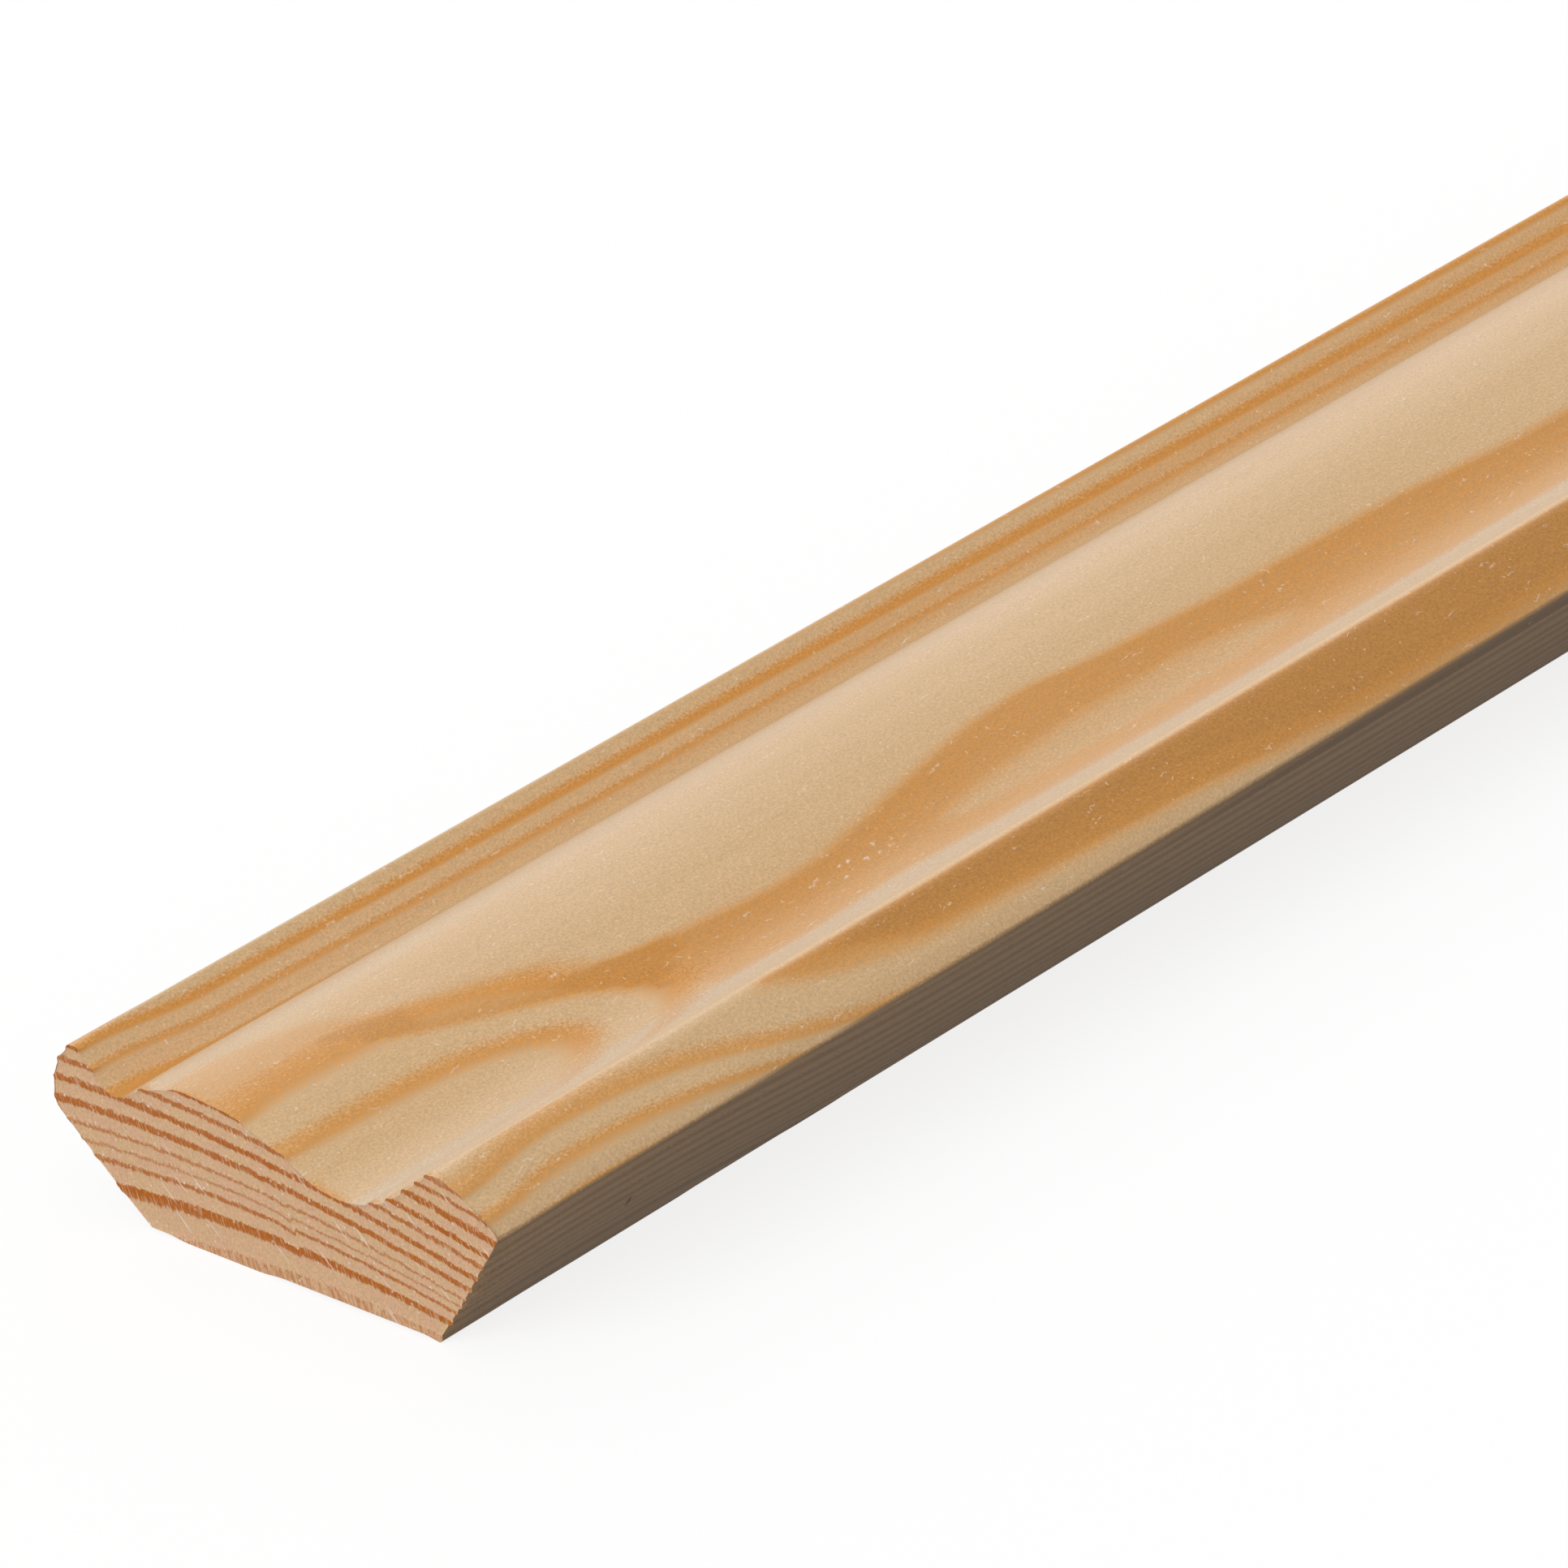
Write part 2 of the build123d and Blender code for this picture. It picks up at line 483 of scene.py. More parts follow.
@dataclass
class MouldedSection:
    """The moulding's outline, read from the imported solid's near end.

    columns run from the nose side to the bead side, and top and bottom are the outline's heights there.
    """

    node: bpy.types.Object
    step: float = 0.30
    merge: float = 0.02
    columns: np.ndarray = field(init=False)
    top: np.ndarray = field(init=False)
    bottom: np.ndarray = field(init=False)
    low_x: float = field(init=False)
    high_x: float = field(init=False)

    def __post_init__(self) -> None:
        """Read the outline and space its columns."""
        walk = self.outline()
        nose, bead = int(walk[:, 0].argmax()), int(walk[:, 0].argmin())
        walk = np.roll(walk, -nose, axis=0)
        bead = (bead - nose) % len(walk)
        sides = [walk[:bead + 1][::-1], np.vstack([walk[bead:], walk[:1]])]
        sides.sort(key=lambda side: side[:, 1].mean())
        low, high = (self.rising(side) for side in sides)
        self.columns = self.spaced(low, high)
        self.top = smooth_through(high[:, 0], high[:, 1], self.columns)
        self.bottom = smooth_through(low[:, 0], low[:, 1], self.columns)

    def outline(self) -> np.ndarray:
        """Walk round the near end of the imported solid.

        Returns:
            The outline's (y, z) points in order.
        """
        mesh = self.node.data
        place = np.empty(len(mesh.vertices) * 3)
        mesh.vertices.foreach_get("co", place)
        place = place.reshape(-1, 3) / MM
        self.low_x, self.high_x = float(place[:, 0].min()), float(place[:, 0].max())
        at_end = place[:, 0] < self.low_x + 1
        key = [(round(float(y), 3), round(float(z), 3)) for y, z in place[:, 1:]]
        beside: dict[tuple[float, float], set[tuple[float, float]]] = {}
        for face in mesh.polygons:
            corners = list(face.vertices)
            if all(at_end[corner] for corner in corners):
                continue
            for one, other in zip(corners, corners[1:] + corners[:1]):
                if at_end[one] and at_end[other] and key[one] != key[other]:
                    beside.setdefault(key[one], set()).add(key[other])
                    beside.setdefault(key[other], set()).add(key[one])
        first = max(beside)
        walk = [first, sorted(beside[first])[0]]
        while True:
            onward = [point for point in beside[walk[-1]] if point != walk[-2]]
            if onward[0] == first:
                return np.array(walk)
            walk.append(onward[0])

    def rising(self, side: np.ndarray) -> np.ndarray:
        """Put one side's points in order of y, dropping any that stand almost above another.

        Args:
            side: the points.

        Returns:
            The kept points, from the bead side to the nose side.
        """
        side = side[side[:, 0].argsort(kind="stable")]
        kept = [side[0]]
        for point in side[1:-1]:
            if point[0] - kept[-1][0] > self.merge and side[-1][0] - point[0] > self.merge:
                kept.append(point)
        return np.array(kept + [side[-1]])

    def spaced(self, low: np.ndarray, high: np.ndarray) -> np.ndarray:
        """Space the columns so that no step along the outline is long.

        Args:
            low: the lower side's points.
            high: the upper side's points.

        Returns:
            The columns' y, from the nose side to the bead side.
        """
        knots = np.unique(np.concatenate([low[:, 0], high[:, 0]]))
        columns = [knots[0]]
        for knot in knots[1:-1]:
            if knot - columns[-1] > self.merge and knots[-1] - knot > self.merge:
                columns.append(knot)
        columns.append(knots[-1])
        spaced = []
        for start, end in zip(columns, columns[1:]):
            ends = np.array([start, end])
            rise = max(abs(np.diff(np.interp(ends, side[:, 0], side[:, 1]))[0]) for side in (low, high))
            parts = max(1, int(np.ceil(np.hypot(end - start, rise) / self.step)))
            spaced += list(np.linspace(start, end, parts, endpoint=False))
        return np.array(spaced + [columns[-1]])[::-1]

    def loop(self) -> np.ndarray:
        """Put the outline's points in order.

        Returns:
            The (y, z) points along the face from the nose side, and home along the back.
        """
        face = np.column_stack([self.columns, self.top])
        back = np.column_stack([self.columns, self.bottom])[-2:0:-1]
        face[0, 1] = (self.top[0] + self.bottom[0]) / 2
        face[-1, 1] = (self.top[-1] + self.bottom[-1]) / 2
        return np.vstack([face, back])


def read_rings(tree: bpy.types.NodeTree, shift: bpy.types.Node, widen: float,
               soft: float) -> bpy.types.Node:
    """Draw the latewood lines from what the mesh carries.

    Args:
        tree: the finish's node tree.
        shift: a node giving how far, in millimetres, the lines are moved.
        widen: how many times its own thickness a line is drawn.
        soft: the width of a line's faded edge, in millimetres.

    Returns:
        A node giving the share of latewood.
    """
    read = {name: add(tree, READ, attribute_name=name).outputs["Fac"]
            for name in ("ring", "gap", "late", "depth")}
    shift = add(tree, MATH, {0: shift, 1: read["gap"]}, operation="DIVIDE")
    moved = add(tree, MATH, {0: read["ring"], 1: shift}, operation="ADD")
    part = add(tree, MATH, {0: moved}, operation="FRACT")
    off = add(tree, MATH, {0: part, 1: 0.5}, operation="SUBTRACT")
    off = add(tree, MATH, {0: off}, operation="ABSOLUTE")
    off = add(tree, MATH, {0: off, 1: read["gap"]}, operation="MULTIPLY")
    inner = add(tree, MATH, {0: read["late"], 1: widen / 2, 2: -soft / 2}, operation="MULTIPLY_ADD")
    outer = add(tree, MATH, {0: read["late"], 1: widen / 2, 2: soft / 2}, operation="MULTIPLY_ADD")
    return add(tree, MAP,
               {"Value": off, "From Min": outer, "From Max": inner, "To Max": read["depth"]},
               interpolation_type="SMOOTHSTEP")


def scatter(tree: bpy.types.NodeTree, place: bpy.types.Node, spacing: float, radius: float,
            share: float) -> bpy.types.Node:
    """Scatter small marks, each stretched as its coordinates are.

    Args:
        tree: the finish's node tree.
        place: a node giving the coordinates.
        spacing: the distance between the places where a mark may lie.
        radius: a mark's radius.
        share: how many of those places have a mark.

    Returns:
        A node giving how strongly a mark shows.
    """
    cell = add(tree, "ShaderNodeTexVoronoi", {"Vector": place, "Scale": 1 / spacing})
    reach = radius / spacing
    near = add(tree, MAP,
               {"Value": cell.outputs["Distance"], "From Min": reach, "From Max": reach * 0.4})
    lot = add(tree, "ShaderNodeSeparateColor", {0: cell.outputs["Color"]})
    chosen = add(tree, MATH, {0: lot.outputs[0], 1: 1 - share}, operation="GREATER_THAN")
    return add(tree, MATH, {0: near, 1: chosen}, operation="MULTIPLY")


@dataclass(frozen=True)
class PlanedPine:
    """Scots pine off the moulding cutter, bare and smooth.

    The resinous latewood reads orange on pale golden earlywood. The knives polish the fibres, so the
    face has a satin sheen that whitens it where it is seen flatly; in two strips that sheen is also
    painted into the colour. On the back and bevels the lines are painted duller and darker, as painted
    shade. Sizes are in millimetres. The cut tubes are 0.03 mm wide, too fine to show, so the sandy
    speckle is drawn as coarse as speck.
    """

    name: str = "planed_pine"
    early: str = "DAB380"
    early_cream: str = "E0BC8E"
    late: str = "DA963F"
    # Painted shade: the latewood on the back and bevels, duller and darker as in shade
    late_painted_shade: str = "B58F63"
    # Painted sheen: the pale grey that the earlywood is mixed towards in the sheen strips
    painted_sheen_grey: str = "DCD6CE"
    fleck: str = "FBEEDA"
    check_stain: str = "2E241C"
    fibre_length: float = 14.0
    fibre_width: float = 0.20
    fibre_leans: tuple[float, float] = (-11.0, 5.0)
    drift_scale: float = 0.35
    speck: float = 0.17
    widen: float = 1.4
    soft: float = 0.34
    chips_x: float = 41.5
    chips_y: float = -4.7
    check_x: float = 11.8
    check_y: float = -17.35
    check_z: float = 3.9
    roughness: float = 0.48
    sheen_level: float = 0.6
    ior: float = 1.5

    def material(self) -> bpy.types.Material:
        """Build the finish.

        Returns:
            The material.
        """
        material, tree = blank_material(self.name)
        mm = millimetres(tree)
        along = add(tree, VECTOR_MATH, {0: mm, 1: (1 / self.fibre_length, 1, 1)}, operation="MULTIPLY")
        fibre = add(tree, NOISE, {"Vector": along, "Scale": 1 / self.fibre_width, "Detail": 2.0,
                                  "Roughness": 0.5})
        drift = add(tree, NOISE, {"Vector": along, "Scale": self.drift_scale, "Detail": 2.0})
        sand = add(tree, NOISE, {"Vector": mm, "Scale": 1 / self.speck, "Detail": 2.0, "Roughness": 0.7})
        colour = self.flecked(tree, mm, self.wood(tree, fibre, drift, sand))
        rough = add(tree, MATH, {0: fibre, 1: 0.12, 2: self.roughness - 0.06}, operation="MULTIPLY_ADD")
        height = add(tree, MATH, {0: fibre, 1: 0.6, 2: sand}, operation="MULTIPLY_ADD")
        bump = add(tree, "ShaderNodeBump", {"Strength": 0.35, "Distance": 0.03 * MM, "Height": height})
        shader = add(tree, "ShaderNodeBsdfPrincipled",
                     {"Base Color": colour, "Roughness": rough, "Normal": bump, "IOR": self.ior,
                      "Specular IOR Level": self.sheen_level})
        add(tree, "ShaderNodeOutputMaterial", {"Surface": shader})
        return material

    def wood(self, tree: bpy.types.NodeTree, fibre: bpy.types.Node, drift: bpy.types.Node,
             sand: bpy.types.Node) -> bpy.types.Node:
        """Colour the early and late wood, the stains, the painted sheen strips, and the painted shade that
        makes the lines duller and darker on the back and bevels.

        Args:
            tree: the finish's node tree.
            fibre: a node giving the fine streaks along the fibres.
            drift: a node giving the slow change of tone.
            sand: a node giving the sandy speckle.

        Returns:
            A node giving the wood's colour.
        """
        fray = add(tree, MATH, {0: sand, 1: 0.5, 2: -0.25}, operation="MULTIPLY_ADD")
        shift = add(tree, MATH, {0: drift, 1: 0.12, 2: -0.06}, operation="MULTIPLY_ADD")
        shift = add(tree, MATH, {0: shift, 1: fray}, operation="ADD")
        line = read_rings(tree, shift, self.widen, self.soft)
        # Also read: the painted sheen strips and the painted shade on the back and bevels
        skim, painted_sheen, under_painted_shade = (add(tree, READ, attribute_name=name).outputs["Fac"]
                               for name in ("skim", "painted_sheen", "under_painted_shade"))
        grain = add(tree, MATH, {0: sand, 1: 0.8, 2: 0.35}, operation="MULTIPLY_ADD")
        grain = add(tree, MATH, {0: fibre, 1: 0.5, 2: grain}, operation="MULTIPLY_ADD")
        stain = add(tree, MATH, {0: skim, 1: grain}, operation="MULTIPLY", use_clamp=True)
        resin = add(tree, MATH, {0: line, 1: stain}, operation="MAXIMUM")
        tone = add(tree, MAP, {"Value": drift, "From Min": 0.2, "From Max": 0.8})
        early, late = linear(self.early), linear(self.late)
        # Random tone mixes the earlywood towards cream, and the painted sheen strips towards pale grey
        for factor, towards in ((tone, self.early_cream), (painted_sheen, self.painted_sheen_grey)):
            early = add(tree, MIX, {MIX_FACTOR: factor, MIX_A: early, MIX_B: linear(towards)},
                        data_type="RGBA")
        # Painted shade: on the back and bevels the latewood turns a duller, darker brown
        late = add(tree, MIX, {MIX_FACTOR: under_painted_shade, MIX_A: late, MIX_B: linear(self.late_painted_shade)},
                   data_type="RGBA")
        lined = add(tree, MIX, {MIX_FACTOR: resin, MIX_A: early, MIX_B: late}, data_type="RGBA")
        browned = add(tree, MAP, {"Value": skim, "From Min": 0.6, "From Max": 1.5, "To Min": 0.59,
                                  "To Max": 0.34})
        shade = add(tree, MATH, {0: fibre, 1: 0.06, 2: browned}, operation="MULTIPLY_ADD")
        grit = add(tree, MATH, {0: sand, 1: 0.76, 2: shade}, operation="MULTIPLY_ADD")
        return add(tree, MIX, {MIX_FACTOR: 1.0, MIX_A: lined, MIX_B: grit}, data_type="RGBA",
                   blend_type="MULTIPLY")

    def flecked(self, tree: bpy.types.NodeTree, mm: bpy.types.Node,
                wood: bpy.types.Node) -> bpy.types.Node:
        """Lay pale flecks, slanting fibres and chips on the wood, and the check.

        Args:
            tree: the finish's node tree.
            mm: a node giving the place in millimetres.
            wood: a node giving the wood's colour.

        Returns:
            A node giving the finished colour.
        """
        bent = add(tree, NOISE, {"Vector": mm, "Scale": 2.2, "Detail": 1.0}).outputs["Color"]
        bent = add(tree, VECTOR_MATH, {0: bent, 1: (0.7, 0.7, 0.7), 2: mm}, operation="MULTIPLY_ADD")
        marks = scatter(tree, bent, 0.50, 0.10, 0.26)
        for lean in self.fibre_leans:
            turned = add(tree, "ShaderNodeVectorRotate",
                         {"Vector": bent, "Axis": (0, 0, 1), "Angle": radians(lean)})
            stretched = add(tree, VECTOR_MATH, {0: turned, 1: (0.10, 1, 1)}, operation="MULTIPLY")
            fibres = scatter(tree, stretched, 0.55, 0.08, 0.3)
            marks = add(tree, MATH, {0: marks, 1: fibres}, operation="MAXIMUM")
        marks = add(tree, MATH, {0: marks, 1: 0.45}, operation="MULTIPLY")
        marks = add(tree, MATH, {0: marks, 1: self.chipped(tree, mm, bent)}, operation="MAXIMUM")
        colour = wood
        for factor, mark in ((marks, self.fleck), (self.check(tree, mm), self.check_stain)):
            colour = add(tree, MIX, {MIX_FACTOR: factor, MIX_A: colour, MIX_B: linear(mark)},
                         data_type="RGBA")
        return colour

    def chipped(self, tree: bpy.types.NodeTree, mm: bpy.types.Node,
                bent: bpy.types.Node) -> bpy.types.Node:
        """Gather pale chip marks where the cutter lifted the fibres in the cove.

        Args:
            tree: the finish's node tree.
            mm: a node giving the place in millimetres.
            bent: the same place, shifted here and there so that the chips are ragged.

        Returns:
            A node giving how strongly a mark shows.
        """
        centre = (cad_box[0][0] / MM + self.chips_x, self.chips_y, 8.3)
        away = add(tree, VECTOR_MATH, {0: mm, 1: centre}, operation="SUBTRACT")
        away = add(tree, VECTOR_MATH, {0: away, 1: (0.4, 1, 1)}, operation="MULTIPLY")
        far = add(tree, VECTOR_MATH, {0: away}, operation="LENGTH")
        near = add(tree, MAP, {"Value": far, "From Min": 2.6, "From Max": 0.6, "To Max": 0.65})
        stretched = add(tree, VECTOR_MATH, {0: bent, 1: (0.5, 1.3, 1.3)}, operation="MULTIPLY")
        chips = scatter(tree, stretched, 0.5, 0.17, 0.45)
        return add(tree, MATH, {0: chips, 1: near}, operation="MULTIPLY")

    def check(self, tree: bpy.types.NodeTree, mm: bpy.types.Node) -> bpy.types.Node:
        """Draw the one small dark check on the bead's bevel, near the end that is seen.

        Args:
            tree: the finish's node tree.
            mm: a node giving the place in millimetres.

        Returns:
            A node giving how strongly the check shows.
        """
        centre = (cad_box[0][0] / MM + self.check_x, self.check_y, self.check_z)
        away = add(tree, VECTOR_MATH, {0: mm, 1: centre}, operation="SUBTRACT")
        away = add(tree, VECTOR_MATH, {0: away, 1: (5.0, 1.4, 1.4)}, operation="MULTIPLY")
        far = add(tree, VECTOR_MATH, {0: away}, operation="LENGTH")
        return add(tree, MAP, {"Value": far, "From Min": 1.1, "From Max": 0.5, "To Max": 0.8})


@dataclass(frozen=True)
class SawnEndGrain:
    """The same pine cut across by a fine saw.

    Cut tubes drink the light, so the earlywood is duller and pinker and the latewood darker than on a
    planed face. The blade tears the lines into short dashes and leaves pale slanting scratches.
    """

    name: str = "sawn_end_grain"
    early: str = "DCB68C"
    early_pink: str = "DDB38F"
    late: str = "B4610F"
    dust: str = "FBF2E6"
    speck: float = 0.17
    dash: float = 1.3
    scratch_lean: float = 41.0
    widen: float = 1.4
    soft: float = 0.12
    roughness: float = 0.82
    ior: float = 1.5

    def material(self) -> bpy.types.Material:
        """Build the finish.

        Returns:
            The material.
        """
        material, tree = blank_material(self.name)
        mm = millimetres(tree)
        sand = add(tree, NOISE, {"Vector": mm, "Scale": 1 / self.speck, "Detail": 2.0, "Roughness": 0.65})
        patch = add(tree, NOISE, {"Vector": mm, "Scale": 0.5, "Detail": 3.0})
        tone = add(tree, MAP, {"Value": patch, "From Min": 0.4, "From Max": 0.6})
        early = add(tree, MIX, {MIX_FACTOR: tone, MIX_A: linear(self.early),
                                MIX_B: linear(self.early_pink)}, data_type="RGBA")
        lined = add(tree, MIX, {MIX_FACTOR: self.torn_lines(tree, mm, sand), MIX_A: early,
                                MIX_B: linear(self.late)}, data_type="RGBA")
        shade = add(tree, MATH, {0: sand, 1: 0.70, 2: 0.65}, operation="MULTIPLY_ADD")
        worn = add(tree, MIX, {MIX_FACTOR: 1.0, MIX_A: lined, MIX_B: shade}, data_type="RGBA",
                   blend_type="MULTIPLY")
        turned = add(tree, "ShaderNodeVectorRotate",
                     {"Vector": mm, "Axis": (1, 0, 0), "Angle": radians(self.scratch_lean)})
        stretched = add(tree, VECTOR_MATH, {0: turned, 1: (1, 1, 0.09)}, operation="MULTIPLY")
        scratch = scatter(tree, stretched, 0.65, 0.10, 0.32)
        dot = scatter(tree, mm, 0.5, 0.13, 0.28)
        marks = add(tree, MATH, {0: scratch, 1: dot}, operation="MAXIMUM")
        marks = add(tree, MATH, {0: marks, 1: 0.6}, operation="MULTIPLY")
        colour = add(tree, MIX, {MIX_FACTOR: marks, MIX_A: worn, MIX_B: linear(self.dust)},
                     data_type="RGBA")
        bump = add(tree, "ShaderNodeBump", {"Strength": 0.5, "Distance": 0.06 * MM, "Height": sand})
        shader = add(tree, "ShaderNodeBsdfPrincipled",
                     {"Base Color": colour, "Roughness": self.roughness, "Normal": bump, "IOR": self.ior})
        add(tree, "ShaderNodeOutputMaterial", {"Surface": shader})
        return material

    def torn_lines(self, tree: bpy.types.NodeTree, mm: bpy.types.Node,
                   sand: bpy.types.Node) -> bpy.types.Node:
        """Draw the latewood lines as the saw tore them, the broadest one into loose dashes.

        Args:
            tree: the finish's node tree.
            mm: a node giving the place in millimetres.
            sand: a node giving the sandy speckle.

        Returns:
            A node giving the share of latewood.
        """
        dashes = add(tree, NOISE, {"Vector": mm, "Scale": 1 / self.dash, "Detail": 3.0, "Roughness": 0.7})
        tears = add(tree, VECTOR_MATH, {0: mm, 1: (1, 4.5, 0.8)}, operation="MULTIPLY")
        tears = add(tree, NOISE, {"Vector": tears, "Scale": 1.0, "Detail": 2.0, "Roughness": 0.6})
        shift = None
        for noise, reach in ((dashes, 0.45), (sand, 0.22), (tears, 0.5)):
            moved = add(tree, MATH, {0: noise, 1: reach, 2: -reach / 2}, operation="MULTIPLY_ADD")
            shift = moved if shift is None else add(tree, MATH, {0: shift, 1: moved}, operation="ADD")
        line = read_rings(tree, shift, self.widen, self.soft)
        kept = add(tree, MAP, {"Value": tears, "From Min": 0.36, "From Max": 0.48, "To Min": 0.45,
                               "To Max": 1.0})
        loose = add(tree, MAP, {"Value": tears, "From Min": 0.43, "From Max": 0.60, "To Min": 0.1,
                                "To Max": 1.35})
        late = add(tree, READ, attribute_name="late").outputs["Fac"]
        broad = add(tree, MAP, {"Value": late, "From Min": 0.55, "From Max": 0.68})
        kept = add(tree, MIX, {MIX_FACTOR: broad, MIX_LOW: kept, MIX_HIGH: loose})
        return add(tree, MATH, {0: line, 1: kept}, operation="MULTIPLY")


class Patch(Enum):
    """Places of the pieces of the bake map, as (left, bottom, right, top)."""

    NEAR_FACES = (0.004, 0.370, 0.996, 0.996)
    FAR_FACES = (0.004, 0.140, 0.996, 0.362)
    NEAR_END = (0.004, 0.004, 0.480, 0.132)
    FAR_END = (0.520, 0.004, 0.996, 0.132)

    def at(self, across: np.ndarray, up: np.ndarray) -> np.ndarray:
        """Place shares of this patch on the map.

        Args:
            across: share of the width, from 0 to 1.
            up: share of the height, from 0 to 1.

        Returns:
            The map's coordinates.
        """
        left, bottom, right, top = self.value
        return np.stack([left + (right - left) * across, bottom + (top - bottom) * up], -1)


@dataclass
class TrimStrip:
    """The length of moulding: planed faces with raised grain, and two sawn ends.

    The stations lie close near both ends, as end_lead and end_tail give them, near_step apart up to
    near_length, and then wider and wider up to longest_step. Along the faces the earlywood is sunk by
    raised_grain, and by torn_edge more at the sawn edges, within about torn_reach. On an end it is sunk
    by end_sunk, with a random fuzz of up to end_fuzz all over.
    """

    section: MouldedSection
    figure: GrowthFigure
    near_length: float = 132.0
    near_step: float = 1.3
    longest_step: float = 34.0
    growth: float = 1.12
    end_rows: int = 25
    end_lead: tuple[float, ...] = (0.0, 0.08, 0.3, 0.7, 1.3, 2.2)
    end_tail: tuple[float, ...] = (2.2, 0.7, 0.08, 0.0)
    end_sunk: float = 0.03
    end_fuzz: float = 0.02
    raised_grain: float = 0.025
    torn_edge: float = 0.15
    torn_reach: float = 1.6
    sharp_angle: float = 40.0
    seed: int = 7

    def stations(self) -> np.ndarray:
        """Distances from the near end at which the outline is repeated.

        Returns:
            The stations, rising from 0 to the whole length.
        """
        length = self.section.high_x - self.section.low_x
        lead = list(self.end_lead)
        steps = int(round((self.near_length - lead[-1]) / self.near_step))
        near = list(np.linspace(lead[-1], self.near_length, steps + 1)[1:])
        far, step = [self.near_length], self.near_step
        tail = [length - one for one in self.end_tail]
        while far[-1] + step < tail[0]:
            step = min(step * self.growth, self.longest_step)
            far.append(far[-1] + step)
        squeeze = (tail[0] - self.near_length) / (far[-1] - self.near_length)
        far = [self.near_length + (one - self.near_length) * squeeze for one in far[1:-1]]
        return np.array(lead + near + far + tail)

    def build(self) -> bpy.types.Object:
        """Make the piece with its finishes.

        Returns:
            The finished object, linked to the scene.
        """
        loop = self.section.loop()
        stations = self.stations()
        rng = np.random.default_rng(self.seed)
        places = [self.sides(loop, stations)]
        faces = self.side_faces(len(stations), len(loop))
        side_count, end_counts = len(faces), []
        for row in (0, len(stations) - 1):
            start = sum(len(block) for block in places)
            grid, rows = self.end_grid(start, row * len(loop), len(loop), stations[row], rng)
            places.append(grid)
            before = len(faces)
            for left, right in zip(rows, rows[1:]):
                faces += self.ladder(left, right, row > 0)
            end_counts.append(len(faces) - before)
        place = np.vstack(places)
        mesh = self.wood_mesh(place, faces, side_count)
        self.lay_map(mesh, place, stations, loop, side_count, end_counts)
        piece = bpy.data.objects.new(mesh.name, mesh)
        bpy.context.scene.collection.objects.link(piece)
        log.info("%s: %d stations of %d points, %d faces", piece.name, len(stations), len(loop), len(faces))
        return piece

    def sides(self, loop: np.ndarray, stations: np.ndarray) -> np.ndarray:
        """Repeat the outline along the strip, with the earlywood sunk between the lines.

        Args:
            loop: the outline.
            stations: distances from the near end.

        Returns:
            The points, one outline after another.
        """
        tangent = np.roll(loop, -1, axis=0) - np.roll(loop, 1, axis=0)
        tangent /= np.linalg.norm(tangent, axis=1)[:, None]
        outward = np.tile(np.column_stack([tangent[:, 1], -tangent[:, 0]]), (len(stations), 1))
        x = np.repeat(stations, len(loop))
        y, z = np.tile(loop, (len(stations), 1)).T
        line = self.figure.line(self.figure.reading(x, y, z))
        from_end = np.minimum(x, stations[-1] - x)
        sunk = self.raised_grain + self.torn_edge * np.exp(-from_end / self.torn_reach)
        inward = sunk * (1 - line)
        return np.column_stack([x, y - inward * outward[:, 0], z - inward * outward[:, 1]])

    @staticmethod
    def side_faces(rows: int, around: int) -> list[tuple[int, ...]]:
        """Join each outline to the next.

        Args:
            rows: how many outlines there are.
            around: how many points each has.

        Returns:
            The faces' point numbers.
        """
        faces = []
        for one in range(0, (rows - 1) * around, around):
            other = one + around
            for j in range(around):
                k = (j + 1) % around
                faces.append((one + j, one + k, other + k, other + j))
        return faces

    def wood_mesh(self, place: np.ndarray, faces: list[tuple[int, ...]], side_count: int) -> bpy.types.Mesh:
        """Make the mesh, with what the finishes read and the two finishes.

        Args:
            place: the points, x from the near end.
            faces: the faces' point numbers.
            side_count: how many of them come before the ends'.

        Returns:
            The mesh.
        """
        mesh = bpy.data.meshes.new(NODE_NAME + "_dressed")
        metres = place.copy()
        metres[:, 0] += self.section.low_x
        mesh.from_pydata((metres * MM).tolist(), [], faces)
        mesh.polygons.foreach_set("use_smooth", [True] * len(faces))
        mesh.polygons.foreach_set("material_index", [0] * side_count + [1] * (len(faces) - side_count))
        for name, values in self.figure.reading(*place.T).items():
            layer = mesh.attributes.new(name, "FLOAT", "POINT")
            layer.data.foreach_set("value", values.astype(np.float32))
        mesh.materials.append(PlanedPine().material())
        mesh.materials.append(SawnEndGrain().material())
        mesh.set_sharp_from_angle(angle=radians(self.sharp_angle))
        return mesh

    def end_grid(self, start: int, rim: int, around: int, at: float,
                 rng: np.random.Generator) -> tuple[np.ndarray, list[list[int]]]:
        """Fill one end's outline with columns of points.

        Args:
            start: the number that the first new point gets.
            rim: the number of the first point on this end's outline.
            around: how many points the outline has.
            at: the end's distance from the near end.
            rng: the source of the saw's fuzz.

        Returns:
            The new points, and each column's point numbers from the back to the face.
        """
        columns = self.section.columns
        count = len(columns)
        grid, rows = [], [[rim]]
        share = np.arange(1, self.end_rows) / self.end_rows
        for c in range(1, count - 1):
            height = self.section.bottom[c] + (self.section.top[c] - self.section.bottom[c]) * share
            numbers = [start + len(grid) + k for k in range(len(share))]
            grid += [(at, columns[c], one) for one in height]
            rows.append([rim + around - c, *numbers, rim + c])
        rows.append([rim + count - 1])
        grid = np.array(grid)
        line = self.figure.line(self.figure.reading(*grid.T))
        into = self.end_sunk * (1 - line) + self.end_fuzz * rng.random(len(grid))
        grid[:, 0] += into if at == 0 else -into
        return grid, rows

